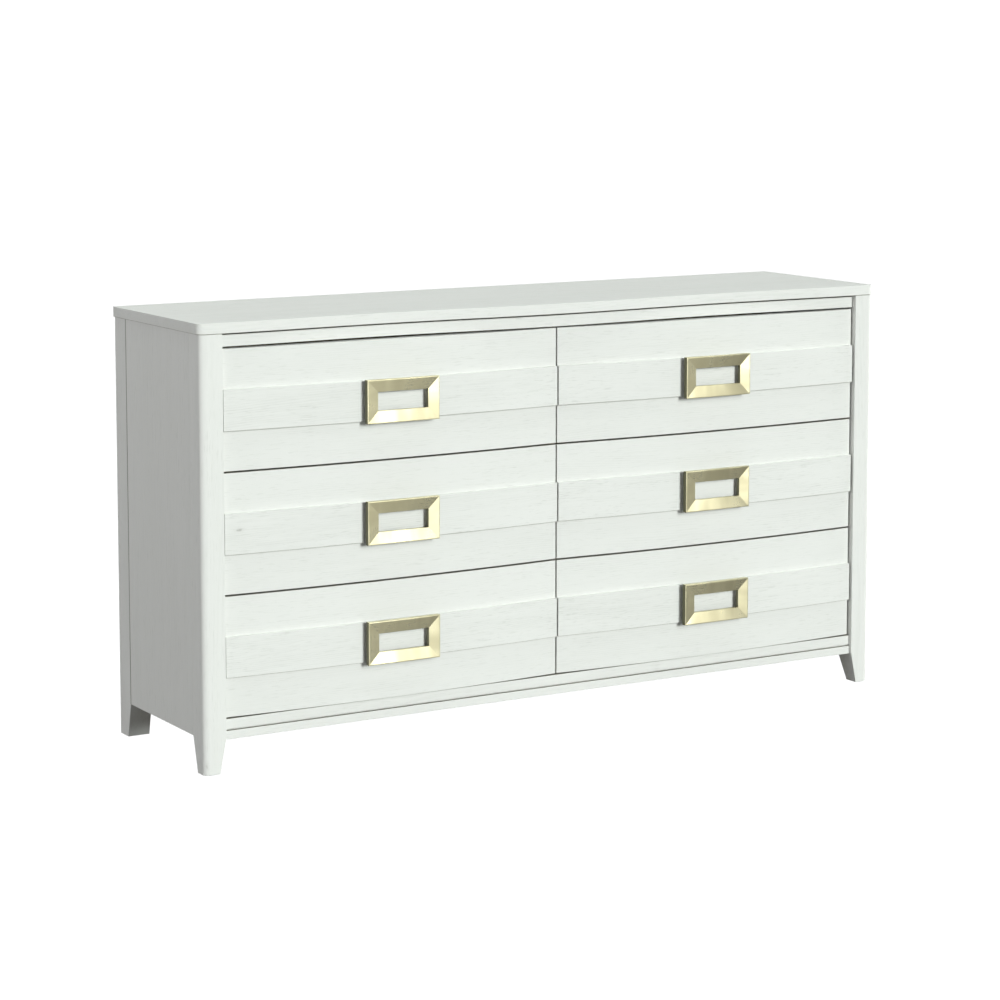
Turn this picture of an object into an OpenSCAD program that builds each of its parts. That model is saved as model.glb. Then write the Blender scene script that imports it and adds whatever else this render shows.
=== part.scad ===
// Six-drawer dresser: two columns of three drawers in a legged case.
// Millimetres. X runs along the width, +Y to the back, +Z up. The origin is
// on the floor, at the centre of the overall footprint, pulls included.

/* [Case] */
// Width of the top panel
overall_w = 1676; // [1500:1:1800]
// Height to the top face
overall_h = 914; // [860:1:1000]
// Depth of the case, leg face to leg face
case_d = 422; // [410:1:480]
// Thickness of the top panel
top_t = 22; // [18:1:30]
// Overhang of the top past each side
top_overhang = 3.5; // [0:0.5:12]
// How far the top's front edge stands out at the centre
wave_out = 9.5; // [0:0.5:14]
// How deep the top's front edge dips in front of each column
wave_in = 8.5; // [0:0.5:12]

/* [Legs] */
// Width of a leg, seen from the front
leg_w = 48.5; // [40:0.5:60]
// Depth of a leg, seen from the side
leg_d = 55; // [45:1:70]
// Radius of a front leg's outer corner
leg_r = 14; // [4:1:20]
// Height at which the foot starts to taper
taper_h = 75; // [60:1:90]
// Width of a front foot at the floor
foot_w = 34; // [28:0.5:44]
// Depth of a front foot at the floor
foot_front_d = 35; // [28:0.5:50]
// Depth of a rear foot at the floor
foot_rear_d = 40; // [28:0.5:50]

/* [Front rails] */
// Height of the top rail
top_rail_h = 24; // [18:0.5:32]
// Setback of the top rail from the leg faces
top_rail_setback = 12.5; // [10:0.5:18]
// Height of the bottom rail
bottom_rail_h = 21; // [16:0.5:30]
// Setback of the bottom rail
bottom_rail_setback = 9; // [6:0.5:12]
// Height of the apron
apron_h = 18; // [12:0.5:19]
// Setback of the apron
apron_setback = 7.5; // [4:0.5:9]
// Height of the shadow groove under the top
top_groove = 3.5; // [1.5:0.5:5]
// Height of the shadow groove above the bottom rail
rail_groove = 2.5; // [1.5:0.5:4]
// Height of the shadow groove above the apron
apron_groove = 3; // [1.5:0.5:4]

/* [Drawers] */
// Height of a drawer front
front_h = 246.5; // [225:0.5:255]
// Gap between drawer fronts
front_gap = 3.5; // [2:0.5:5]
// Gap between a drawer front and the leg
side_gap = 3.5; // [2:0.5:5]
// Gap above the top drawers
top_gap = 4; // [2:0.5:6]
// Setback of a drawer front's ends from the leg faces
front_setback = 12.5; // [11:0.5:20]
// Thickness of a drawer front at its ends
front_t = 18; // [15:0.5:22]
// How far a drawer front bows out at its middle
bow = 14; // [0:0.5:20]
// Height of the applied band
band_h = 84; // [60:1:110]
// Thickness of the applied band
band_t = 6.5; // [4:0.5:10]
// Outer height of a drawer box
box_h = 190; // [150:1:200]
// Outer length of a drawer box
box_l = 350; // [330:1:352]
// How far a drawer pulls out
travel = 340; // [200:1:345]

/* [Pulls] */
// Outer length of a pull
pull_w = 168; // [150:1:200]
// Outer height of a pull
pull_h = 90; // [70:1:100]
// Width of the pull's bevelled frame
pull_frame = 25.5; // [18:0.5:28]
// Distance from the band to the pull's rim
pull_reach = 21; // [18:0.5:30]
// Distance between the pull's two screws
screw_centres = 142; // [96:1:144]

/* [Hidden] */
$fn = 64;
PARTS = ["front", "band", "pull", "box", "bottom", "slide_middle", "slide_runner"];
DRAWERS = [1 : 6];

oak = "#dfe4de";
oak_side = "#d3d8d2";
brass = "#b9ad7c";
birch = "#d9c9a6";
steel = "#b8bcc0";
eps = 0.01;

// Depth stations
pull_rim = pull_reach + band_t + bow - front_setback;
front_y = pull_rim - (case_d + pull_rim) / 2;
back_y = front_y + case_d;
slab_back_y = front_y + front_setback + front_t;
lap = 2.5;
inner_front_y = slab_back_y + lap;
back_t = 6;
back_rebate = 8;
back_inner_y = back_y - back_rebate;

// Width stations
case_x = overall_w / 2 - top_overhang;
leg_inner_x = case_x - leg_w;
side_t = 18;
side_inner_x = case_x - side_t;
partition_t = 22;
partition_x = partition_t / 2;

// Height stations
glide_h = 2;
under_top = overall_h - top_t;
top_rail_top = under_top - top_groove;
top_rail_z = top_rail_top - top_rail_h;
row_pitch = front_h + front_gap;
bottom_front_z = top_rail_z - top_gap - 3 * front_h - 2 * front_gap;
bottom_rail_z = bottom_front_z - rail_groove - bottom_rail_h;
apron_z = bottom_rail_z - apron_groove - apron_h;
floor_t = 15;
floor_z = bottom_rail_z + 3;

// Drawer stations
front_x0 = front_gap / 2;
front_x1 = leg_inner_x - side_gap;
front_mid_x = (front_x0 + front_x1) / 2;
front_half = (front_x1 - front_x0) / 2;
slide_t = 12.7;
slide_l = 346;
slide_h = 45;
slide_sheet = 1.2;
slide_up = 80;
box_up = 24;
box_x0 = partition_x + slide_t;
box_x1 = leg_inner_x - slide_t;
box_w = box_x1 - box_x0;
side_board = 12;
end_board = 14;
bottom_t = 6;
bottom_up = 12;
bottom_in = 6;
tails = 5;
glue_gap = 0.1;
screw_r = 2;
screw_hole_r = 2.2;

// Column side: drawers 1 to 3 are on the left from the top down, 4 to 6 on the right.
function side(k) = k <= 3 ? -1 : 1;
function row(k) = (k - 1) % 3;
function front_z(k) = bottom_front_z + (2 - row(k)) * row_pitch;
function box_z(k) = front_z(k) + box_up;
function slide_z(k) = box_z(k) + slide_up;

// Distance that the top's front edge stands out at x: out at the centre, in before each column.
function wave(x) =
    let (u = abs(x) / leg_inner_x, dip = wave_in + wave_out / 2)
    wave_out * (1 + cos(180 * u)) / 2 - dip * pow(sin(180 * u), 2);

// Distance that a drawer front stands out at x, from its ends to its middle.
function bulge(x) = bow * (1 - pow((x - front_mid_x) / front_half, 2));

wave_steps = 72;
bow_steps = 32;
wave_points = [for (i = [0 : wave_steps])
    let (x = -leg_inner_x + 2 * leg_inner_x * i / wave_steps) [x, -wave(x)]];
bow_points = [for (i = [0 : bow_steps])
    let (x = front_x0 + 2 * front_half * i / bow_steps) [x, -bulge(x)]];
bow_points_back = [for (i = [bow_steps : -1 : 0]) bow_points[i]];

function shift(points, y) = [for (p = points) p + [0, y]];

// A box between two corners
module block(low, high) {
    translate(low) cube(high - low);
}

// The same shape on both sides of the centre plane
module both_sides() {
    children();
    mirror([1, 0, 0]) children();
}

// Puts a right-hand drawer's piece in the column of drawer k
module in_column(k) {
    mirror([side(k) < 0 ? 1 : 0, 0, 0]) children();
}

// ---- Case ----

module top_panel() {
    x = overall_w / 2;
    r = leg_r + top_overhang;
    color(oak) translate([0, 0, under_top]) linear_extrude(top_t) union() {
        polygon(concat([[-x, back_y], [-x, front_y + r], [r - x, front_y]],
            shift(wave_points, front_y),
            [[x - r, front_y], [x, front_y + r], [x, back_y]]));
        for (s = [-1, 1]) translate([s * (x - r), front_y + r]) circle(r);
    }
}

// Plan of a front leg on the right: a rectangle with a rounded outer corner
module front_leg_plan() {
    union() {
        translate([leg_inner_x, front_y]) square([leg_w - leg_r, leg_d]);
        translate([leg_inner_x, front_y + leg_r]) square([leg_w, leg_d - leg_r]);
        translate([case_x - leg_r, front_y + leg_r]) circle(leg_r);
    }
}

// Side elevation of a leg: its outer face at 0, the inner face tapered at the foot
module taper(w, foot) {
    polygon([[0, glide_h], [foot, glide_h], [w, taper_h], [w, under_top], [0, under_top]]);
}

module leg_front() {
    color(oak) intersection() {
        linear_extrude(under_top) front_leg_plan();
        translate([case_x, front_y + leg_d, 0]) mirror([1, 0, 0]) rotate([90, 0, 0])
            linear_extrude(leg_d) taper(leg_w, foot_w);
        translate([leg_inner_x, front_y, 0]) rotate([90, 0, 90])
            linear_extrude(leg_w) taper(leg_d, foot_front_d);
    }
}

module leg_rear() {
    color(oak_side) difference() {
        translate([case_x, back_y, 0]) rotate([90, 0, -90])
            linear_extrude(leg_w) taper(leg_d, foot_rear_d);
        block([leg_inner_x - eps, back_inner_y, taper_h],
              [leg_inner_x + back_rebate, back_y + eps, under_top + eps]);
    }
}

module side_panel() {
    reveal = 1.5;
    reveal_depth = 3;
    color(oak_side) difference() {
        block([side_inner_x, front_y + leg_d, taper_h], [case_x, back_y - leg_d, under_top]);
        block([case_x - reveal_depth, back_y - leg_d - reveal, taper_h - eps],
              [case_x + eps, back_y - leg_d + eps, under_top + eps]);
    }
}

module back_panel() {
    x = leg_inner_x + back_rebate;
    color(birch) block([-x, back_inner_y, taper_h], [x, back_inner_y + back_t, under_top]);
}

// The front follows the wave; the back stands up behind the groove to meet the top.
module rail_top_front() {
    tongue_y = inner_front_y + 4;
    rail_back_y = tongue_y + 12;
    color(oak) union() {
        translate([0, 0, top_rail_z]) linear_extrude(top_rail_h)
            polygon(concat([[-leg_inner_x, rail_back_y]],
                shift(wave_points, front_y + top_rail_setback),
                [[leg_inner_x, rail_back_y]]));
        block([-leg_inner_x, tongue_y, top_rail_z], [leg_inner_x, rail_back_y, under_top]);
    }
}

module rail_bottom_front() {
    color(oak) block([-leg_inner_x, front_y + bottom_rail_setback, bottom_rail_z],
                     [leg_inner_x, inner_front_y, bottom_rail_z + bottom_rail_h]);
}

module apron_front() {
    tongue_y = front_y + apron_setback + 8;
    apron_back_y = front_y + apron_setback + 20;
    color(oak) union() {
        block([-leg_inner_x, front_y + apron_setback, apron_z],
              [leg_inner_x, apron_back_y, apron_z + apron_h]);
        block([-leg_inner_x, tongue_y, apron_z], [leg_inner_x, apron_back_y, bottom_rail_z]);
    }
}

rear_rail_t = 18;
rear_rail_h = 50;
rear_rail_y = back_inner_y - rear_rail_t;

module rear_rails() {
    color(birch) {
        block([-leg_inner_x, rear_rail_y, under_top - rear_rail_h],
              [leg_inner_x, back_inner_y, under_top]);
        block([-leg_inner_x, rear_rail_y, taper_h], [leg_inner_x, back_inner_y, floor_z]);
    }
}

// Notched over the top rails at the front and the back
module centre_partition() {
    color(birch) difference() {
        block([-partition_x, inner_front_y, floor_z + floor_t],
              [partition_x, back_inner_y, under_top]);
        block([-partition_t, inner_front_y - eps, top_rail_z],
              [partition_t, inner_front_y + 16, under_top + eps]);
        block([-partition_t, rear_rail_y, under_top - rear_rail_h],
              [partition_t, back_inner_y + eps, under_top + eps]);
    }
}

module divider_rails() {
    divider_t = 18;
    divider_d = 50;
    color(birch) both_sides() for (i = [1, 2]) {
        z = bottom_front_z + i * row_pitch - front_gap / 2;
        block([partition_x, inner_front_y, z - divider_t / 2],
              [leg_inner_x, inner_front_y + divider_d, z + divider_t / 2]);
    }
}

// Notched around the four legs
module bottom_panel() {
    color(birch) difference() {
        block([-side_inner_x, inner_front_y, floor_z],
              [side_inner_x, back_inner_y, floor_z + floor_t]);
        both_sides() {
            block([leg_inner_x, front_y, floor_z - eps],
                  [case_x, front_y + leg_d, floor_z + floor_t + eps]);
            block([leg_inner_x, back_y - leg_d, floor_z - eps],
                  [case_x, back_y, floor_z + floor_t + eps]);
        }
    }
}

module slide_spacers() {
    spacer_h = 60;
    color(birch) both_sides() for (k = [1 : 3])
        block([leg_inner_x, front_y + leg_d, slide_z(k) - spacer_h / 2],
              [side_inner_x, back_y - leg_d, slide_z(k) + spacer_h / 2]);
}

module foot_glides() {
    glide_r = 11;
    color("#3a3a3a") both_sides() {
        translate([case_x - foot_w / 2, front_y + foot_front_d / 2, 0]) cylinder(glide_h, r = glide_r);
        translate([case_x - leg_w / 2, back_y - foot_rear_d / 2, 0]) cylinder(glide_h, r = glide_r);
    }
}

// ---- Slides ----

// Section of a folded channel: its web at x = 0, its flanges towards +x
module channel(w, h) {
    union() {
        translate([0, -h / 2]) square([slide_sheet, h]);
        for (z = [-h / 2, h / 2 - slide_sheet]) translate([0, z]) square([w, slide_sheet]);
    }
}

// Runs a section in the XZ plane back from the front of the slides
module run_back() {
    translate([0, inner_front_y + slide_l, 0]) rotate([90, 0, 0]) linear_extrude(slide_l) children();
}

// Places a member on the partition side, and mirrored on the leg side, at height z.
// Local x = 0 is the case's face and x = slide_t the drawer's.
module slide_pair(z) {
    translate([partition_x, 0, z]) run_back() children();
    translate([leg_inner_x, 0, z]) mirror([1, 0, 0]) run_back() children();
}

module slide_cabinet_members() {
    cabinet_w = 9.5;
    color(steel) for (k = DRAWERS) in_column(k) slide_pair(slide_z(k)) channel(cabinet_w, slide_h);
}

module drawer_slide_middle(k) {
    middle_x = 3.2;
    middle_w = 7.8;
    middle_h = slide_h - 10;
    color(steel) in_column(k) slide_pair(slide_z(k))
        translate([middle_x, 0]) channel(middle_w, middle_h);
}

module drawer_slide_runner(k) {
    runner_w = 6.7;
    runner_h = slide_h - 20;
    color(steel) in_column(k) slide_pair(slide_z(k))
        translate([slide_t, 0]) mirror([1, 0]) channel(runner_w, runner_h);
}

// ---- Drawers ----

// The two screw holes through a drawer's front pieces
module screw_holes(k, r) {
    z = front_z(k) + front_h / 2;
    for (s = [-1, 1]) translate([front_mid_x + s * screw_centres / 2, slab_back_y + end_board + 1, z])
        rotate([90, 0, 0]) cylinder(pull_rim + 100, r = r);
}

module drawer_front(k) {
    color(oak) in_column(k) difference() {
        translate([0, 0, front_z(k)]) linear_extrude(front_h)
            polygon(concat(shift(bow_points, front_y + front_setback),
                [[front_x1, slab_back_y], [front_x0, slab_back_y]]));
        screw_holes(k, screw_hole_r);
    }
}

module drawer_band(k) {
    face_y = front_y + front_setback;
    color(oak) in_column(k) difference() {
        translate([0, 0, front_z(k) + (front_h - band_h) / 2]) linear_extrude(band_h)
            polygon(concat(shift(bow_points, face_y - band_t), shift(bow_points_back, face_y)));
        screw_holes(k, screw_hole_r);
    }
}

// Section of the funnel: from the inner opening, widening to the rim at y = 0
module funnel(half, inner) {
    depth = 3;
    past = 20;
    polygon([[-inner, past], [-inner, depth], [-half, 0], [-half, -past],
             [half, -past], [half, 0], [inner, depth], [inner, past]]);
}

// A frame with a bevelled face on two posts, and its two screws
module drawer_pull(k) {
    rim = 2;
    frame_t = 11;
    post_r = 5;
    thread = 10;
    head_r = 4;
    head_t = 2.5;
    band_y = front_y + front_setback - bow - band_t;
    rim_y = band_y - pull_reach;
    z = front_z(k) + front_h / 2;
    head_y = slab_back_y + end_board;
    half = pull_w / 2;
    color(brass) in_column(k) {
        difference() {
            union() {
                difference() {
                    block([front_mid_x - half, rim_y, z - pull_h / 2],
                          [front_mid_x + half, rim_y + frame_t, z + pull_h / 2]);
                    intersection() {
                        translate([front_mid_x, rim_y, z - pull_h]) linear_extrude(2 * pull_h)
                            funnel(half - rim, half - pull_frame);
                        translate([front_mid_x - pull_w, rim_y, z]) rotate([0, 0, 90]) rotate([90, 0, 0])
                            linear_extrude(2 * pull_w) rotate(90) mirror([0, 1])
                            funnel(pull_h / 2 - rim, pull_h / 2 - pull_frame);
                    }
                }
                for (s = [-1, 1]) translate([front_mid_x + s * screw_centres / 2, band_y, z])
                    rotate([90, 0, 0]) cylinder(pull_reach - frame_t + eps, r = post_r);
            }
            for (s = [-1, 1]) translate([front_mid_x + s * screw_centres / 2, band_y + 1, z])
                rotate([90, 0, 0]) cylinder(thread + 2, r = screw_r + glue_gap);
        }
        for (s = [-1, 1]) translate([front_mid_x + s * screw_centres / 2, head_y, z]) {
            rotate([90, 0, 0]) cylinder(head_y - band_y + thread, r = screw_r);
            rotate([-90, 0, 0]) cylinder(head_t, r = head_r);
        }
    }
}

// Dovetail tails at one end of a side board, growing wider towards +x, made larger by gap
module tails_2d(gap) {
    pitch = box_h / tails;
    root = pitch * 0.28 + gap;
    tip = pitch * 0.36 + gap;
    for (i = [0 : tails - 1]) translate([0, pitch * (i + 0.5)])
        polygon([[0, -root], [end_board, -tip], [end_board, tip], [0, root]]);
}

// Side view of a side board with its tails, from y = 0 at the front of the box
module side_board_2d(gap = 0) {
    union() {
        translate([end_board - gap, 0]) square([box_l - 2 * end_board + 2 * gap, box_h]);
        translate([end_board, 0]) mirror([1, 0]) tails_2d(gap);
        translate([box_l - end_board, 0]) tails_2d(gap);
    }
}

// A side view drawn in (y, z), made into a board of thickness t that starts at x
module board_at(x, t) {
    translate([x, slab_back_y, 0]) rotate([90, 0, 90]) linear_extrude(t) children();
}

module bottom_groove(z) {
    block([box_x0 + side_board - bottom_in, slab_back_y + end_board - bottom_in, z + bottom_up],
          [box_x1 - side_board + bottom_in, slab_back_y + box_l - end_board + bottom_in,
           z + bottom_up + bottom_t]);
}

module drawer_box(k) {
    z = box_z(k);
    color(birch) in_column(k) {
        for (x = [box_x0, box_x1 - side_board]) difference() {
            translate([0, 0, z]) board_at(x, side_board) side_board_2d();
            bottom_groove(z);
        }
        for (y = [0, box_l - end_board]) difference() {
            block([box_x0, slab_back_y + y, z], [box_x1, slab_back_y + y + end_board, z + box_h]);
            translate([0, 0, z]) {
                board_at(box_x0 - eps, side_board + glue_gap) side_board_2d(glue_gap);
                board_at(box_x1 - side_board - glue_gap, side_board + 1) side_board_2d(glue_gap);
            }
            bottom_groove(z);
            screw_holes(k, screw_hole_r);
        }
    }
}

module drawer_bottom(k) {
    color(birch) in_column(k) bottom_groove(box_z(k));
}

// ---- Assembly ----

top_panel();
mirror([1, 0, 0]) leg_front();  // leg_front_left
leg_front();  // leg_front_right
mirror([1, 0, 0]) leg_rear();  // leg_rear_left
leg_rear();  // leg_rear_right
mirror([1, 0, 0]) side_panel();  // side_panel_left
side_panel();  // side_panel_right
back_panel();
rail_top_front();
rail_bottom_front();
apron_front();
rear_rails();
centre_partition();
divider_rails();
bottom_panel();
slide_spacers();
slide_cabinet_members();
foot_glides();
for (k = DRAWERS) {
    drawer_front(k);
    drawer_band(k);
    drawer_pull(k);
    drawer_box(k);
    drawer_bottom(k);
    drawer_slide_middle(k);
    drawer_slide_runner(k);
}
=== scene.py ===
"""A whitewashed-oak dresser with six drawers and brass frame pulls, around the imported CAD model.

Metres, in the CAD frame: X along the width, +Y to the back, +Z up, the origin on the floor.
"""
import math
import random

import bmesh
import bpy
from mathutils import Matrix, Vector


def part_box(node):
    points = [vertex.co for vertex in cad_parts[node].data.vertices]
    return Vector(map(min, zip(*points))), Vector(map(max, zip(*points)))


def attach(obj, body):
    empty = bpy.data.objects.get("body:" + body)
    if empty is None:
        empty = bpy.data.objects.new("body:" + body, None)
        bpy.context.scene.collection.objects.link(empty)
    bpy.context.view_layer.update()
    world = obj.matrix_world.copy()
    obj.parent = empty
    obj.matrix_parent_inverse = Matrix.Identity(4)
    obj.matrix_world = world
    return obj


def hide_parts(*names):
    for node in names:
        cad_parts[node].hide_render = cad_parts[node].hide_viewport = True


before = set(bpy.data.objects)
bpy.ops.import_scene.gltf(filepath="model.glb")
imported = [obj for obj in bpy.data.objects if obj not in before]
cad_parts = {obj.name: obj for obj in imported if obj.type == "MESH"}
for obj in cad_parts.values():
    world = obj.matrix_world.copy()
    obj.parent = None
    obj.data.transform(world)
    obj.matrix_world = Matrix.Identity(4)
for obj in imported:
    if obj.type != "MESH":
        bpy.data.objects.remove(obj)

MM = 0.001
scene = bpy.context.scene
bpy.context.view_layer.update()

DRAWERS, TOP_DRAWERS = range(1, 7), (1, 4)


# ---- Camera ----

CAMERA_AT = (-3.23707, -5.38614, 1.50879)
CAMERA_YAW, CAMERA_PITCH = 30.77, 6.48     # degrees to the right of +Y, and below the horizon
CAMERA_LENS, CAMERA_SHIFT = 104.61, -0.15

camera = bpy.data.objects.new("camera", bpy.data.cameras.new("camera"))
scene.collection.objects.link(camera)
camera.location = CAMERA_AT
camera.rotation_euler = (math.radians(90 - CAMERA_PITCH), 0, math.radians(-CAMERA_YAW))
camera.data.lens = CAMERA_LENS
camera.data.sensor_width = 36
camera.data.shift_y = CAMERA_SHIFT
camera.data.clip_end = 100
scene.camera = camera


# ---- Materials ----

class Nodes:
    """Builds a node tree: each call adds a node and returns one of its outputs."""

    def __init__(self, tree):
        self.tree = tree
        tree.nodes.clear()

    def __call__(self, kind, inputs=None, out=0, **settings):
        node = self.tree.nodes.new(kind)
        for key, value in settings.items():
            setattr(node, key, value)
        for key, value in (inputs or {}).items():
            if isinstance(value, bpy.types.NodeSocket):
                self.tree.links.new(value, node.inputs[key])
            else:
                node.inputs[key].default_value = value
        return node.outputs[out] if node.outputs else None

    def math(self, operation, a, b=0.0, c=0.0):
        return self("ShaderNodeMath", {0: a, 1: b, 2: c}, operation=operation)

    def vector(self, operation, a, b=(0, 0, 0), out="Vector"):
        return self("ShaderNodeVectorMath", {0: a, 1: b}, out=out, operation=operation)

    def scaled(self, vector, factor):
        return self("ShaderNodeVectorMath", {0: vector, "Scale": factor}, operation="SCALE")

    def mix(self, factor, a, b):
        node = self.tree.nodes.new("ShaderNodeMix")
        node.data_type = "RGBA"
        for socket, value in ((node.inputs[0], factor), (node.inputs[6], a), (node.inputs[7], b)):
            if isinstance(value, bpy.types.NodeSocket):
                self.tree.links.new(value, socket)
            else:
                socket.default_value = value
        return node.outputs[2]

    def ramp(self, value, low, high, to_low=0.0, to_high=1.0):
        return self("ShaderNodeMapRange",
                    {"Value": value, "From Min": low, "From Max": high,
                     "To Min": to_low, "To Max": to_high}, interpolation_type="SMOOTHSTEP")

    def noise(self, vector, scale, detail=2.0, roughness=0.5, out=0):
        return self("ShaderNodeTexNoise",
                    {"Vector": vector, "Scale": scale, "Detail": detail, "Roughness": roughness},
                    out=out)

    def attribute(self, name, out="Vector"):
        return self("ShaderNodeAttribute", out=out, attribute_name=name)


def material(name):
    made = bpy.data.materials.new(name)
    made.use_nodes = True
    return made, Nodes(made.node_tree)


def surface(n, color, roughness, normal=None, metallic=0.0, specular=0.5, anisotropic=0.0,
            tangent=None):
    """The tree's shader; with a tangent, the highlight is drawn out square to it."""
    node = n.tree.nodes.new("ShaderNodeBsdfPrincipled")
    for key, value in (("Base Color", color), ("Roughness", roughness), ("Normal", normal),
                       ("Tangent", tangent)):
        if isinstance(value, bpy.types.NodeSocket):
            n.tree.links.new(value, node.inputs[key])
        elif value is not None:
            node.inputs[key].default_value = value
    node.inputs["Metallic"].default_value = metallic
    node.inputs["IOR"].default_value = 1.45
    node.inputs["Specular IOR Level"].default_value = specular
    node.inputs["Anisotropic"].default_value = anisotropic
    node.inputs["Anisotropic Rotation"].default_value = 0.25
    n("ShaderNodeOutputMaterial", {"Surface": node.outputs[0]})
    return node


def grain_axes(n):
    """The face's "grain", and its place along and across that, within its tree or its bar."""
    place = n.vector("ADD", n("ShaderNodeTexCoord", out="Object"), n.attribute("board"))
    grain = n.attribute("grain")
    along = n.vector("DOT_PRODUCT", place, grain, out="Value")
    across = n.vector("SUBTRACT", place, n.scaled(grain, along))
    return grain, along, across


KNOT_COLOR = (0.30, 0.29, 0.26)
# How far from a knot's middle its two tints begin, and where they are full
KNOT_CORE, KNOT_HALO = (4.2 * MM, 1.2 * MM), (8.5 * MM, 2.0 * MM)


def wood(name, pale, dark, ring_mm=4.2, ring_mix=0.2, pore_mix=0.6, tone=0.3, knots=False,
         roughness=0.5, relief=0.12, painted_shade=None):
    """Sawn wood: growth rings round a far pith, pores, fibres and slow tone changes.

    Each face carries "grain", its board's direction, "board", a place within the tree, "rubbed",
    1 on an eased edge, a mask, 1 where gap shade is painted, and "knot", the middle of its knot.
    """
    made, n = material(name)
    grain, along, across = grain_axes(n)
    tree = n.scaled(n.attribute("board"), 13.7)

    def stretched(ratio):
        """The place within the tree, drawn out along the grain."""
        squashed = n.scaled(grain, n.math("MULTIPLY", along, ratio))
        return n.vector("ADD", n.vector("ADD", across, squashed), tree)

    if knots:
        here = n("ShaderNodeTexCoord", out="Object")
        away = n.vector("SUBTRACT", here, n.attribute("knot"))
        run = n.vector("DOT_PRODUCT", away, grain, out="Value")
        away = n.vector("SUBTRACT", away, n.scaled(grain, n.math("MULTIPLY", run, 0.55)))
        away = n.vector("ADD", away, n.scaled(n.noise(here, 260, out="Color"), 4 * MM))
        away = n.vector("LENGTH", away, out="Value")
        core, halo = n.ramp(away, *KNOT_CORE), n.ramp(away, *KNOT_HALO)
        knot = n.math("MULTIPLY_ADD", core, 0.42, n.math("MULTIPLY", halo, 0.10))
    wobble = n.vector("SUBTRACT", n.noise(stretched(0.15), 11, 3, 0.55, out="Color"), (0.5, 0.5, 0.5))
    radius = n.vector("LENGTH", n.vector("ADD", across, n.scaled(wobble, 22 * MM)), out="Value")
    radius = n.math("MULTIPLY_ADD", along, 0.012, radius)
    ring = n.math("FRACT", n.math("MULTIPLY", radius, 1 / (ring_mm * MM)))
    # Early wood fades slowly into late wood, which ends sharply, and some years barely show
    late = n.math("MULTIPLY", n.ramp(ring, 0.1, 0.8), n.ramp(ring, 1.0, 0.86))
    late = n.math("MULTIPLY", late, n.ramp(n.noise(stretched(0.1), 34, 2), 0.38, 0.66, 0.1, 1.0))
    pores = n.ramp(n.noise(stretched(0.07), 420, 2, 0.65), 0.54, 0.72)
    patches = n.ramp(n.noise(stretched(0.2), 26, 2), 0.36, 0.62, 0.45, 1.0)
    pores = n.math("MULTIPLY", pores, patches)
    fibre = n.noise(stretched(0.03), 190, 3, 0.6)
    slow = n.noise(stretched(0.14), 8, 2)

    amount = n.math("MULTIPLY", late, ring_mix)
    amount = n.math("MULTIPLY_ADD", pores, pore_mix, amount)
    amount = n.math("MULTIPLY_ADD", n.math("SUBTRACT", fibre, 0.5), tone, amount)
    amount = n.math("MULTIPLY_ADD", n.math("SUBTRACT", slow, 0.5), tone, amount)
    facing = n("ShaderNodeNewGeometry", out="Normal")
    end = n.ramp(n.math("ABSOLUTE", n.vector("DOT_PRODUCT", facing, grain, out="Value")), 0.7, 0.95)
    amount = n.math("MULTIPLY_ADD", end, 0.25, amount)
    amount = n.math("MULTIPLY_ADD", n.attribute("rubbed", "Fac"), -0.12, amount)
    color = n.mix(n("ShaderNodeClamp", {"Value": amount}), (*pale, 1), (*dark, 1))
    # Painted shade: masked faces in gaps, joints and under the bands take the dark colour
    if painted_shade:
        color = n.mix(n.attribute("painted_shade", "Fac"), color, (*painted_shade, 1))
    if knots:
        color = n.mix(knot, color, (*KNOT_COLOR, 1))

    height = n.math("SUBTRACT", n.math("MULTIPLY", late, 0.35), pores)
    normal = n("ShaderNodeBump", {"Height": height, "Strength": 0.6, "Distance": relief * MM})
    surface(n, color, n.ramp(amount, 0.0, 1.0, roughness, roughness + 0.18), normal)
    return made


# Painted shade for gap and joint edges and the bands' lower edges, in a raw-oak tone
PAINTED_GAP_SHADE = (0.32, 0.307, 0.268)
oak = wood("oak", (0.80, 0.80, 0.78), (0.66, 0.665, 0.635), knots=True, pore_mix=0.5, tone=0.34,
           painted_shade=PAINTED_GAP_SHADE)
oak_band = wood("oak_band", (0.80, 0.80, 0.78), (0.62, 0.625, 0.595), knots=True, pore_mix=0.55,
                tone=0.5, painted_shade=PAINTED_GAP_SHADE)
birch = wood("birch", (0.74, 0.60, 0.42), (0.60, 0.44, 0.27), ring_mm=5.5, ring_mix=0.5,
             pore_mix=0.12, tone=0.3, roughness=0.42, relief=0.03)
back_board = wood("back_board", (0.60, 0.59, 0.55), (0.50, 0.49, 0.45), ring_mix=0.08, pore_mix=0.3,
                  tone=0.5, roughness=0.62, relief=0.03)


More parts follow.
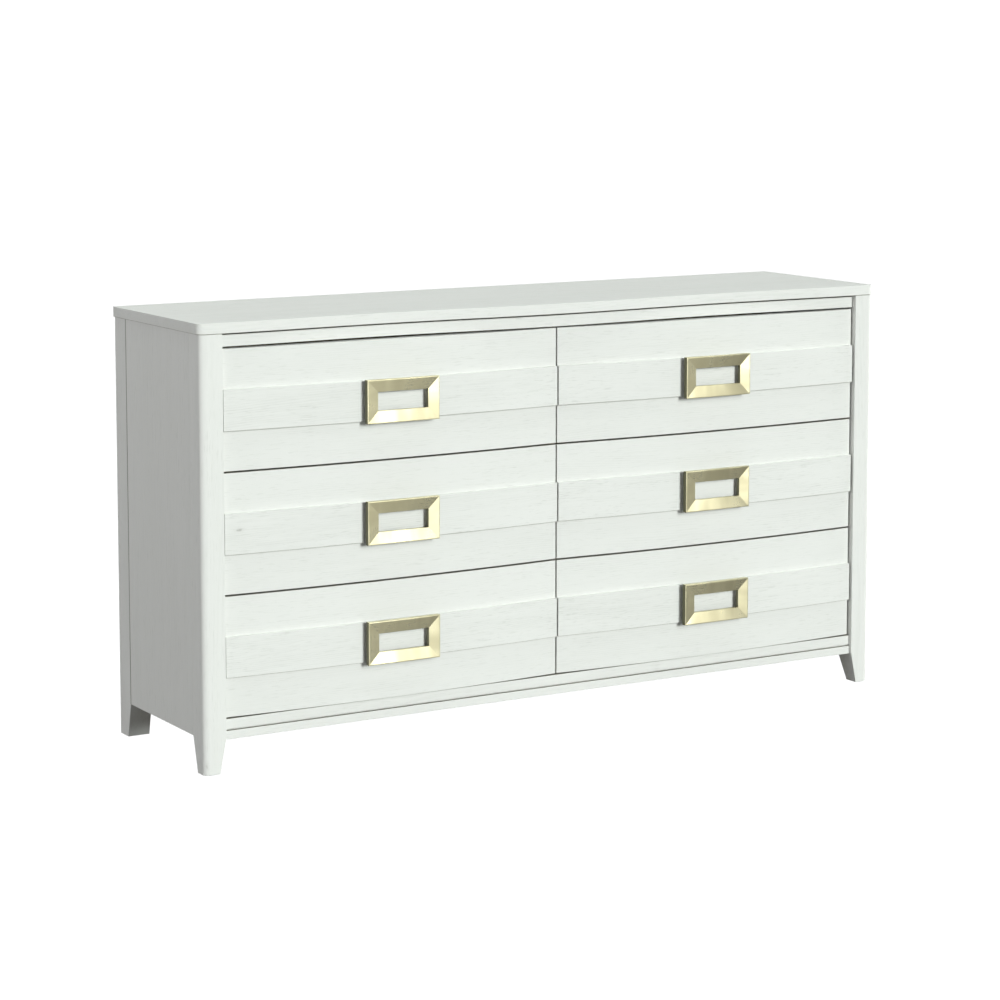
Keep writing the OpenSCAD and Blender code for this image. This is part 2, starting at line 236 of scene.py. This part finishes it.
def brushed_metal(name, color, worn, roughness, scratch_mm, relief, painted_side_shade=None, anisotropic=0.0):
    """Metal brushed along each face's "grain", and painted dark, as shade, on the faces so marked.

    The brushing is uneven: slow bands across the strokes are duller and darker; on the pulls the lighter
    bands are also a painted highlight streak.
    """
    made, n = material(name)
    grain, along, across = grain_axes(n)
    drawn = n.vector("ADD", across, n.scaled(grain, n.math("MULTIPLY", along, 0.012)))
    scratches = n.noise(drawn, 1000 / scratch_mm, 3, 0.65)
    bands = n.vector("ADD", n.scaled(across, 0.35), n.scaled(grain, along))
    # Partly real uneven brushing, partly a painted highlight: on the pulls the lighter bands stand in
    # for a reflected streak
    cloud = n.ramp(n.noise(bands, 22, 2, 0.45), 0.36, 0.64)
    tone = n.mix(cloud, (*worn, 1), (*color, 1))
    # Painted shade: the frame's sides and back take a dark colour, standing in for dark reflections and
    # dimming their bounce light
    if painted_side_shade:
        tone = n.mix(n.attribute("painted_side_shade", "Fac"), tone, (*painted_side_shade, 1))
    rough = n.math("MULTIPLY_ADD", n.math("SUBTRACT", scratches, 0.5), 0.12, roughness)
    rough = n.math("MULTIPLY_ADD", cloud, -0.05, rough)
    normal = n("ShaderNodeBump", {"Height": scratches, "Strength": 0.3, "Distance": relief * MM})
    surface(n, tone, rough, normal, metallic=1.0, anisotropic=anisotropic, tangent=grain)
    return made


# The pull frames' sides and backs carry a dark painted shade
brass = brushed_metal("brass", (0.82, 0.78, 0.515), (0.67, 0.63, 0.40), 0.33, 0.5, 0.01,
                      painted_side_shade=(0.13, 0.125, 0.08), anisotropic=0.5)
zinc_steel = brushed_metal("zinc_steel", (0.64, 0.66, 0.68), (0.56, 0.58, 0.62), 0.36, 0.8, 0.01)


def plastic(name, color):
    made, n = material(name)
    place = n("ShaderNodeTexCoord", out="Object")
    grain = n.noise(place, 900, 2)
    tone = n.mix(n.noise(place, 90, 3), (*color, 1), (*[c * 1.6 for c in color], 1))
    normal = n("ShaderNodeBump", {"Height": grain, "Strength": 0.4, "Distance": 0.05 * MM})
    surface(n, tone, n.ramp(grain, 0.3, 0.7, 0.45, 0.6), normal)
    return made


glide_plastic = plastic("glide_plastic", (0.02, 0.02, 0.021))
MATERIALS = {"oak": oak, "birch": birch, "back_board": back_board, "brass": brass,
             "zinc_steel": zinc_steel, "glide_plastic": glide_plastic}


# ---- Making pieces ----

# The middles of the pin knots, where the wash is thinner
KNOTS = {"drawer_2_band": (-0.747, -0.192, 0.497), "leg_front_left": (-0.829, -0.1936, 0.027)}
NOWHERE = (0, 0, -10)


def face_islands(bm):
    """The separate solids of a mesh, each as a list of faces."""
    left, found = set(bm.faces), []
    for first in bm.faces:
        if first not in left:
            continue
        left.discard(first)
        island, stack = [first], [first]
        while stack:
            for edge in stack.pop().edges:
                for other in edge.link_faces:
                    if other in left:
                        left.discard(other)
                        island.append(other)
                        stack.append(other)
        found.append(island)
    return found


def corners(faces):
    points = [v.co for f in faces for v in f.verts]
    low = Vector([min(p[i] for p in points) for i in range(3)])
    high = Vector([max(p[i] for p in points) for i in range(3)])
    return low, high


def lay_grain(bm, name, rubbed=(), painted_shade=None):
    """Gives every solid the direction of its longest side, and its own place within a tree.

    The pith is far off, mostly across the board, so that the growth rings cross its face nearly
    square and the grain runs straight. Faces that the shade mask picks get painted shade.
    """
    grain = bm.faces.layers.float_vector.new("grain")
    board = bm.faces.layers.float_vector.new("board")
    knot = bm.faces.layers.float_vector.new("knot")
    edge = bm.faces.layers.float.new("rubbed")
    draw = random.Random(name)
    for island in face_islands(bm):
        low, high = corners(island)
        thin, across, longest = sorted(range(3), key=lambda i: (high - low)[i])
        direction = Vector([1.0 if i == longest else 0.0 for i in range(3)])
        offset = -(low + high) / 2
        offset[longest] += draw.uniform(-0.4, 0.4)
        offset[across] += draw.choice((-1, 1)) * draw.uniform(0.25, 0.6)
        offset[thin] += draw.choice((-1, 1)) * draw.uniform(0.08, 0.25)
        for face in island:
            face[grain] = direction
            face[board] = offset
            face[knot] = KNOTS.get(name, NOWHERE)
    for face in rubbed:
        if face.is_valid:
            face[edge] = 1.0
    # Painted shade marks; on these faces they replace the eased-edge lightening
    if painted_shade:
        shade_layer = bm.faces.layers.float.new("painted_shade")
        bm.normal_update()
        for face in bm.faces:
            if painted_shade(face):
                face[shade_layer], face[edge] = 1.0, 0.0


def finished_mesh(bm, name):
    for face in bm.faces:
        face.smooth = True
    mesh = bpy.data.meshes.new(name)
    bm.to_mesh(mesh)
    bm.free()
    return mesh


def piece(name, mesh, slot, body, replaced=(), finish=None):
    made = bpy.data.objects.new(name, mesh)
    scene.collection.objects.link(made)
    mesh.materials.clear()
    mesh.materials.append(finish or MATERIALS[slot])
    shading = made.modifiers.new("shading", "WEIGHTED_NORMAL")
    shading.keep_sharp = True
    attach(made, body)
    if replaced:
        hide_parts(*replaced)


EASED = math.radians(30)      # a board's edges sharper than this are eased
CREASE = math.radians(8)      # and those sharper than this stay crisp
FOLD = math.radians(24)       # metal edges sharper than this stay crisp


def ease(bm, width_mm, shortest_mm):
    """Rounds the long outer edges over, keeps the rest crisp, and returns the rounded faces."""
    bm.normal_update()
    eased = []
    for e in bm.edges:
        turn = e.calc_face_angle(0.0)
        if turn > EASED and e.is_convex and e.calc_length() > shortest_mm * MM:
            eased.append(e)
        elif turn > CREASE:
            e.smooth = False
    made = bmesh.ops.bevel(bm, geom=eased, offset=width_mm * MM, offset_type="OFFSET",
                           segments=2, profile=0.5, affect="EDGES", clamp_overlap=False)
    return made["faces"]


def eased_copy(node, slot, body, edge_mm=0.8, shortest_mm=3.0, painted_shade=None, finish=None):
    """A CAD board with its facets joined and its outer edges eased."""
    bm = bmesh.new()
    bm.from_mesh(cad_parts[node].data)
    bmesh.ops.remove_doubles(bm, verts=bm.verts, dist=0.005 * MM)
    bmesh.ops.dissolve_limit(bm, angle_limit=math.radians(0.05), verts=bm.verts, edges=bm.edges)
    lay_grain(bm, node, ease(bm, edge_mm, shortest_mm), painted_shade)
    piece(f"{node}_finished", finished_mesh(bm, node), slot, body, [node], finish)


def rounded(points, radii, steps=3):
    """A closed outline with each corner replaced by an arc of its radius."""
    made = []
    for i, (point, radius) in enumerate(zip(points, radii)):
        here = Vector(point)
        before = Vector(points[i - 1]) - here
        after = Vector(points[(i + 1) % len(points)]) - here
        if radius <= 0:
            made.append(here)
            continue
        half = before.angle(after) / 2
        start, end = (here + v.normalized() * radius / math.tan(half) for v in (before, after))
        middle = here + (before.normalized() + after.normalized()).normalized() * radius / math.sin(half)
        made += [middle + (start - middle).slerp(end - middle, j / steps) * radius
                 for j in range(steps + 1)]
    return made


def lathe(bm, profile, place, steps=24):
    """Turns (radius, height) points round local Z, and closes both ends."""
    rings = []
    for radius, height in profile:
        rings.append([bm.verts.new(place @ Vector((radius * math.cos(a), radius * math.sin(a), height)))
                      for a in (2 * math.pi * i / steps for i in range(steps))])
    for low, high in zip(rings, rings[1:]):
        for i in range(steps):
            j = (i + 1) % steps
            bm.faces.new((low[i], low[j], high[j], high[i]))
    bm.faces.new(list(reversed(rings[0])))
    return rings[-1]


def screw_head(bm, place, radius, height, steps=24):
    """A pan head with a cross recess, its seat at local Z = 0."""
    arc = [(radius, 0.0), (radius, 0.35 * height)]
    arc += [(radius * (0.62 + 0.38 * math.cos(a)), height * (0.35 + 0.65 * math.sin(a)))
            for a in (math.pi / 2 * i / 4 for i in range(1, 5))]
    crown = lathe(bm, arc, place, steps)
    wide, narrow, deep = 0.48 * radius, 0.12 * radius, 0.55 * height
    quarter, cross = [(narrow, wide), (narrow, narrow), (wide, narrow)], []
    for _ in range(4):
        cross += quarter
        quarter = [(y, -x) for x, y in quarter]
    top = [bm.verts.new(place @ Vector((x, y, height))) for x, y in cross]
    floor = [bm.verts.new(place @ Vector((0.6 * x, 0.6 * y, height - deep))) for x, y in cross]
    rim = [bm.edges.new((top[i - 1], top[i])) for i in range(len(cross))]
    around = [bm.edges.get((crown[i - 1], crown[i])) for i in range(steps)]
    bmesh.ops.triangle_fill(bm, use_beauty=True, edges=rim + around)
    for i in range(len(cross)):
        bm.faces.new((top[i - 1], top[i], floor[i], floor[i - 1]))
    bm.faces.new(floor)


def tidy_normals(bm):
    bmesh.ops.remove_doubles(bm, verts=bm.verts, dist=0.002 * MM)
    bmesh.ops.recalc_face_normals(bm, faces=bm.faces)


def sharpen(bm):
    bm.normal_update()
    for e in bm.edges:
        if e.calc_face_angle(0.0) > FOLD:
            e.smooth = False


# ---- The case ----

JOINT = 1.2 * MM            # a face whose middle is nearer than this to a joint is in it
seat_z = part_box("top_panel")[0].z
groove_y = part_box("side_panel_left")[1].y


def in_joint(face):
    """The eased edges under the top and beside the rear legs, which get a painted shade line."""
    at = face.calc_center_median()
    return abs(at.z - seat_z) < JOINT or abs(at.y - groove_y) < JOINT


def level(face):
    """The edges in the gaps above and below the drawers, which get painted shade."""
    return abs(face.normal.z) > 0.9


def level_below(face):
    """Only the lower edge gets painted shade: the top drawers' upper edges show beyond the rail and keep
    the wash.
    """
    return face.normal.z < -0.9


def underside(face):
    """A band's lower edge, which gets painted shade."""
    return face.normal.z < -0.3


# The joints under the top and beside the rear legs get painted shade lines
for name in ("top_panel", "leg_front_left", "leg_front_right", "leg_rear_left", "leg_rear_right",
             "side_panel_left", "side_panel_right"):
    eased_copy(name, "oak", "case", shortest_mm=0.2, painted_shade=in_joint)
# Their edges in the drawer gaps get painted shade
for name in ("rail_top_front", "rail_bottom_front", "apron_front"):
    eased_copy(name, "oak", "case", painted_shade=level)
for name in ("rear_rails", "centre_partition", "divider_rails", "bottom_panel", "slide_spacers"):
    eased_copy(name, "birch", "case", edge_mm=0.5)
eased_copy("back_panel", "back_board", "case", edge_mm=0.4)
eased_copy("foot_glides", "glide_plastic", "case", edge_mm=0.4, shortest_mm=0.5)

# Pan-head screws hold the back panel in its rebate, to the rails and to the partition
back_low, back_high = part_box("back_panel")
HEAD_R, HEAD_H = 3.2 * MM, 1.6 * MM
ALONG, UPRIGHT = 11, 4        # screws in a row along a rail, and up a side
FROM_END, FROM_TOP, FROM_BOTTOM, FROM_SIDE = 40 * MM, 25 * MM, 9 * MM, 4 * MM
spots = []
for i in range(ALONG):
    x = back_low.x + FROM_END + (back_high.x - back_low.x - 2 * FROM_END) * i / (ALONG - 1)
    spots += [(x, back_high.z - FROM_TOP), (x, back_low.z + FROM_BOTTOM)]
for i in range(1, UPRIGHT + 1):
    z = back_low.z + (back_high.z - back_low.z) * i / (UPRIGHT + 1)
    spots += [(back_low.x + FROM_SIDE, z), (0.0, z), (back_high.x - FROM_SIDE, z)]
screws = bmesh.new()
draw = random.Random("back_screws")
for x, z in spots:
    turn = Matrix.Rotation(draw.uniform(0, math.pi), 4, "Z")
    place = Matrix.Translation((x, back_high.y, z)) @ Matrix.Rotation(-math.pi / 2, 4, "X") @ turn
    screw_head(screws, place, HEAD_R, HEAD_H, steps=16)
tidy_normals(screws)
sharpen(screws)
lay_grain(screws, "back_screws")
piece("back_panel_screws", finished_mesh(screws, "back_panel_screws"), "zinc_steel", "case")


# ---- Drawer slides ----

SHEET = 1.2 * MM
SLIDE_FROM, SLIDE_TO = (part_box("slide_cabinet_members")[i].y for i in (0, 1))
# Each member in millimetres: its depth, its height, and how far its web is from the case's face
CABINET, MIDDLE, RUNNER = (9.5, 45, 0), (7.8, 35, 3.2), (6.7, 25, 12.7)
# Each kind of slot in millimetres: half of its straight part, and the radius of its ends
OVAL_HOLE, ACCESS_SLOT, LONG_HOLE = (4, 2.3), (13, 4.5), (5, 2.3)
SLOT_STEPS, THROUGH = 16, 5 * MM
SLIDE_SCREW_R, SLIDE_SCREW_H = 3.4 * MM, 1.8 * MM
BALL_R, BALL_PITCH = 1.7, 9         # millimetres


def channel(depth, height):
    """Section of a folded member, its web at x = 0 and its flanges towards +x."""
    w, h, t = depth * MM, height * MM / 2, SHEET
    # The flanges are rolled in by this much, from these depths on, to hold the balls
    race, outside, inside = 1.1 * MM, w - 2.4 * MM, w - 2.6 * MM
    points = [(w, -h + race), (outside, -h), (0, -h), (0, h), (outside, h), (w, h - race),
              (w, h - race - t), (inside, h - t), (t, h - t), (t, -h + t), (inside, -h + t),
              (w, -h + race + t)]
    radii = [0.3, 1.6, 2.0, 2.0, 1.6, 0.3, 0.3, 0.9, 0.8, 0.8, 0.9, 0.3]
    return rounded(points, [r * MM for r in radii])


def prism(bm, near, far):
    """Joins two rings of vertices into a closed solid."""
    for i in range(len(near)):
        bm.faces.new((near[i - 1], near[i], far[i], far[i - 1]))
    bm.faces.new(near)
    bm.faces.new(far)


def member(size, slot, slots_at, screws_at=(), flip=False):
    """One slide member from y = 0 to the slide's length, with slots through its web.

    Its slots and screws are so many millimetres from its front end.
    """
    depth, height, web = size
    length = SLIDE_TO - SLIDE_FROM
    outline = channel(depth, height)
    body = bmesh.new()
    prism(body, *([body.verts.new((p.x, y, p.y)) for p in outline] for y in (0, length)))
    tidy_normals(body)
    cutter = bmesh.new()
    half, radius = (size_mm * MM for size_mm in slot)
    turns = [2 * math.pi * (i + 0.5) / SLOT_STEPS for i in range(SLOT_STEPS)]
    for at_mm in slots_at:
        ring = [(at_mm * MM + math.copysign(half, math.cos(a)) + radius * math.cos(a),
                 radius * math.sin(a)) for a in turns]
        prism(cutter, *([cutter.verts.new((x, y, z)) for y, z in ring] for x in (-THROUGH, THROUGH)))
    tidy_normals(cutter)
    objects = [bpy.data.objects.new("cut", finished_mesh(b, "cut")) for b in (body, cutter)]
    for o in objects:
        scene.collection.objects.link(o)
    cut = objects[0].modifiers.new("cut", "BOOLEAN")
    cut.operation, cut.object, cut.solver = "DIFFERENCE", objects[1], "EXACT"
    done = bmesh.new()
    done.from_object(objects[0], bpy.context.evaluated_depsgraph_get())
    for o in objects:
        bpy.data.objects.remove(o)
    for at_mm in screws_at:
        place = Matrix.Translation((SHEET, at_mm * MM, 0)) @ Matrix.Rotation(math.pi / 2, 4, "Y")
        screw_head(done, place, SLIDE_SCREW_R, SLIDE_SCREW_H, steps=16)
    tidy_normals(done)
    # The runner's web lies on the drawer, with its flanges towards the case
    if flip:
        bmesh.ops.transform(done, verts=done.verts, matrix=Matrix.Scale(-1, 4, (1, 0, 0)))
        bmesh.ops.reverse_faces(done, faces=done.faces)
    bmesh.ops.translate(done, verts=done.verts, vec=(web * MM, 0, 0))
    sharpen(done)
    return finished_mesh(done, "member")


def balls(bm, count, x, y, z):
    """Two rows of balls, the first at y from the member's front end; sizes in millimetres."""
    for i in range(count):
        for side in (-1, 1):
            place = Matrix.Translation((x * MM, (y + BALL_PITCH * i) * MM, side * z * MM))
            bmesh.ops.create_uvsphere(bm, u_segments=10, v_segments=6, radius=BALL_R * MM,
                                      matrix=place)


cabinet_mesh = member(CABINET, OVAL_HOLE, (60, 130, 215, 290), screws_at=(32, 172, 320))
runner_mesh = member(RUNNER, LONG_HOLE, (75, 150, 235), screws_at=(30, 190, 318), flip=True)
# The middle member carries the balls that the runner and the cabinet member roll on
middle = bmesh.new()
middle.from_mesh(member(MIDDLE, ACCESS_SLOT, (60, 120, 180, 240, 300)))
balls(middle, 10, x=9.2, y=8, z=14.4)
balls(middle, 11, x=7.0, y=238, z=19.4)
middle_mesh = finished_mesh(middle, "middle")

# How far the faces that the slides stand on are from the dresser's middle
PARTITION_X, LEG_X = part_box("centre_partition")[1].x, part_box("leg_front_right")[0].x


def slides(name, mesh, body, node, drawers):
    """The member on both sides of each drawer, in one piece."""
    made = bmesh.new()
    for k in drawers:
        low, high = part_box(f"drawer_{k}_slide_runner")
        outer = 1 if low.x > 0 else -1
        z = (low.z + high.z) / 2
        for x, way in ((PARTITION_X * outer, outer), (LEG_X * outer, -outer)):
            copy = bmesh.new()
            copy.from_mesh(mesh)
            place = Matrix.Translation((x, SLIDE_FROM, z)) @ Matrix.Scale(way, 4, (1, 0, 0))
            bmesh.ops.transform(copy, verts=copy.verts, matrix=place)
            if way < 0:
                bmesh.ops.reverse_faces(copy, faces=copy.faces)
            made.from_mesh(finished_mesh(copy, "part"))
    lay_grain(made, name)
    piece(name, finished_mesh(made, name), "zinc_steel", body, [node])


slides("slide_cabinet_channels", cabinet_mesh, "case", "slide_cabinet_members", DRAWERS)


# ---- Pulls ----

# The frame's bar: its width and depth, the flat lip along its rim, and how far its face falls
# from there to the window
PULL_BAR, PULL_DEPTH, PULL_LIP, PULL_DIP = 25.5 * MM, 11 * MM, 2.0 * MM, 3.0 * MM
PULL_ARCH = 1.5 * MM        # the ends of the frame stand back from its middle
POST_R, POST_X = 5 * MM, 71 * MM                # the posts' places are from the pull's middle
COLLAR, COLLAR_FROM = 1.2 * MM, 1.5 * MM        # each post widens where it meets the frame
PULL_SCREW_R, PULL_SCREW_H = 4 * MM, 2.5 * MM
SHANK_R, SHANK_GRIP = 2 * MM, 9 * MM
POST_FOLD = math.radians(32)


def pull(k):
    """A mitred frame with a funnel face on two posts, and its two screws."""
    low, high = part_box(f"drawer_{k}_pull")
    band_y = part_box(f"drawer_{k}_band")[0].y
    inside_y = high.y - PULL_SCREW_H
    middle = Vector(((low.x + high.x) / 2, low.y, (low.z + high.z) / 2))
    half_x, half_z = (high.x - low.x) / 2, (high.z - low.z) / 2
    inner_x, inner_z = half_x - PULL_BAR, half_z - PULL_BAR
    section = rounded([(0, PULL_DIP), (0, PULL_DEPTH), (PULL_BAR, PULL_DEPTH), (PULL_BAR, 0),
                       (PULL_BAR - PULL_LIP, 0)], [r * MM for r in (0.35, 0.3, 0.5, 0.7, 0.15)])
    bm = bmesh.new()
    grain = bm.faces.layers.float_vector.new("grain")
    board = bm.faces.layers.float_vector.new("board")
    painted_side_shade = bm.faces.layers.float.new("painted_side_shade")

    def bar(points, direction, steps):
        """Lofts the section from one mitre to the other."""
        rows = [[bm.verts.new(middle + points(u, y, -1 + 2 * i / steps)) for u, y in section]
                for i in range(steps + 1)]
        for row, following in zip(rows, rows[1:]):
            for i in range(len(section)):
                face = bm.faces.new((row[i - 1], row[i], following[i], following[i - 1]))
                face[grain] = direction
                # The pattern, with its painted highlight streak, is placed from the pull's middle
                face[board] = (-middle.x, 0.1 * k, -middle.z)

    def back(x, y):
        return y + PULL_ARCH * (x / half_x) ** 2

    for side in (-1, 1):
        bar(lambda u, y, t: Vector((t * (inner_x + u), back(t * (inner_x + u), y),
                                    side * (inner_z + u))), (1, 0, 0), 16)
        bar(lambda u, y, t: Vector((side * (inner_x + u), back(inner_x + u, y),
                                    t * (inner_z + u))), (0, 0, 1), 1)
    tidy_normals(bm)
    for e in bm.edges:
        offsets = [abs(abs(v.co.x - middle.x) - inner_x - abs(v.co.z - middle.z) + inner_z)
                   for v in e.verts]
        mitre = max(offsets) < 0.01 * MM
        if mitre or e.calc_face_angle(0.0) > FOLD:
            e.smooth = False
    frame_faces = set(bm.faces)

    turned = Matrix.Rotation(math.pi / 2, 4, "X")
    for side in (-1, 1):
        x = middle.x + side * POST_X
        reach = band_y - low.y - PULL_DEPTH
        foot = Matrix.Translation((x, band_y, middle.z)) @ turned
        top = lathe(bm, [(POST_R - 0.4 * MM, 0), (POST_R, 0.4 * MM), (POST_R, reach - COLLAR_FROM),
                         (POST_R + 0.5 * MM, reach - 0.6 * MM), (POST_R + COLLAR, reach)], foot, 32)
        bm.faces.new(top)
        shank = Matrix.Translation((x, inside_y, middle.z)) @ turned
        tip = lathe(bm, [(SHANK_R, 0), (SHANK_R, inside_y - band_y + SHANK_GRIP)], shank, 16)
        bm.faces.new(tip)
        seat = Matrix.Translation((x, inside_y, middle.z)) @ Matrix.Rotation(-math.pi / 2, 4, "X")
        screw_head(bm, seat, PULL_SCREW_R, PULL_SCREW_H)
    bmesh.ops.recalc_face_normals(bm, faces=bm.faces)
    for face in bm.faces:
        if face not in frame_faces:
            face[grain] = (0, 1, 0)
            for e in face.edges:
                e.smooth = e.calc_face_angle(0.0) < POST_FOLD
        # The frame's sides and back get painted shade
        elif abs(face.normal.x) > 0.8 or face.normal.y > 0.8:
            face[painted_side_shade] = 1.0
    piece(f"drawer_{k}_pull_frame", finished_mesh(bm, f"pull_{k}"), "brass", f"drawer_{k}",
          [f"drawer_{k}_pull"])


# ---- Drawers ----

for k in DRAWERS:
    # Painted shade on the fronts' edges in the drawer gaps
    eased_copy(f"drawer_{k}_front", "oak", f"drawer_{k}", edge_mm=0.6,
               painted_shade=level_below if k in TOP_DRAWERS else level)
    # The band's lower edge gets painted shade
    eased_copy(f"drawer_{k}_band", "oak", f"drawer_{k}", edge_mm=0.6, painted_shade=underside,
               finish=oak_band)
    eased_copy(f"drawer_{k}_box", "birch", f"drawer_{k}", edge_mm=0.35, shortest_mm=4)
    eased_copy(f"drawer_{k}_bottom", "birch", f"drawer_{k}", edge_mm=0.3)
    pull(k)
    slides(f"drawer_{k}_runners", runner_mesh, f"drawer_{k}", f"drawer_{k}_slide_runner", [k])
    slides(f"drawer_{k}_middle_channels", middle_mesh, f"drawer_{k}_slides",
           f"drawer_{k}_slide_middle", [k])


# ---- Floor and light ----

def plane(name, half, paint, strength=0.0, seen=True):
    """A level square on the floor: either only seen by the camera, or only there to bounce light."""
    mesh = bpy.data.meshes.new(name)
    mesh.from_pydata([(x * half, y * half, 0.0) for x, y in ((-1, -1), (1, -1), (1, 1), (-1, 1))],
                     [], [(0, 1, 2, 3)])
    made = bpy.data.objects.new(name, mesh)
    scene.collection.objects.link(made)
    shade, n = material(name)
    node = surface(n, (*paint, 1), 1.0, specular=0.0)
    node.inputs["Emission Color"].default_value = (1, 1, 1, 1)
    node.inputs["Emission Strength"].default_value = strength
    mesh.materials.append(shade)
    made.visible_camera = seen
    made.visible_diffuse = made.visible_glossy = made.visible_shadow = not seen
    return made


WHITE, SURROUND = (1, 1, 1), (0.09, 0.09, 0.09)
BACKDROP_STRENGTH = 1.1
FLOOR_HALF = 30.0
plane("floor", FLOOR_HALF, WHITE, strength=BACKDROP_STRENGTH)
plane("floor_bounce", FLOOR_HALF, (0.25, 0.25, 0.25), seen=False).visible_glossy = False


def toward(azimuth, height):
    """Unit vector: degrees right of the front, and above the horizon."""
    a, h = math.radians(azimuth), math.radians(height)
    return Vector((math.sin(a) * math.cos(h), -math.cos(a) * math.cos(h), math.sin(h)))


def soft_box(n, azimuth, height, inner, outer, strength, base):
    """Adds a round glow to a strength: full within one angle of its middle, gone at another."""
    way = n.vector("NORMALIZE", n("ShaderNodeTexCoord", out="Generated"))
    aim = n.vector("DOT_PRODUCT", way, toward(azimuth, height), out="Value")
    glow = n.ramp(aim, math.cos(math.radians(outer)), math.cos(math.radians(inner)), 0.0, strength)
    return n.math("ADD", glow, base)


def studio():
    """Dim grey all round for diffuse light, white for the camera, and soft boxes in reflections."""
    world = bpy.data.worlds.new("studio")
    scene.world = world
    world.use_nodes = True
    n = Nodes(world.node_tree)
    shine = soft_box(n, 19, 4, 10, 20, 3.0, 0.21)        # at the front, seen in the pulls
    shine = soft_box(n, -50, -10, 20, 75, 0.6, shine)    # and two wide ones for the other sides
    shine = soft_box(n, 150, 10, 20, 80, 0.15, shine)
    lit = n("ShaderNodeBackground", {"Color": (*SURROUND, 1)})
    mirrored = n("ShaderNodeBackground", {"Color": (*WHITE, 1), "Strength": shine})
    seen = n("ShaderNodeBackground", {"Color": (*WHITE, 1), "Strength": BACKDROP_STRENGTH})
    is_seen = n("ShaderNodeLightPath", out="Is Camera Ray")
    is_mirrored = n("ShaderNodeLightPath", out="Is Glossy Ray")
    around = n("ShaderNodeMixShader", {0: is_mirrored, 1: lit, 2: mirrored})
    whole = n("ShaderNodeMixShader", {0: is_seen, 1: around, 2: seen})
    n("ShaderNodeOutputWorld", {"Surface": whole})


def lamp(name, azimuth, height, size, color, mirrored=True):
    """A far, soft lamp: degrees right of the front and above the horizon, and how wide it looks.

    One that isn't mirrored only lights; a soft box stands in for its reflection.
    """
    made = bpy.data.objects.new(name, bpy.data.lights.new(name, "SUN"))
    scene.collection.objects.link(made)
    strength = max(color)
    made.data.energy = math.pi * strength
    made.data.color = [c / strength for c in color]
    made.data.angle = math.radians(size)
    made.rotation_euler = (math.radians(90 - height), 0, math.radians(azimuth))
    made.visible_glossy = mirrored


studio()
lamp("key", 9, 12, 14, (0.675, 0.71, 0.685), mirrored=False)
lamp("high_key", 9, 26, 14, (0.187, 0.197, 0.19), mirrored=False)
lamp("overhead", 0, 88, 30, (0.41, 0.445, 0.423))
lamp("left_fill", -92, 4, 30, (0.405, 0.405, 0.405))
lamp("right_fill", 92, 3, 30, (0.6, 0.6, 0.6))
lamp("back_fill", 180, 10, 30, (0.4, 0.4, 0.4))

scene.view_settings.view_transform = "Standard"
scene.view_settings.look = "None"
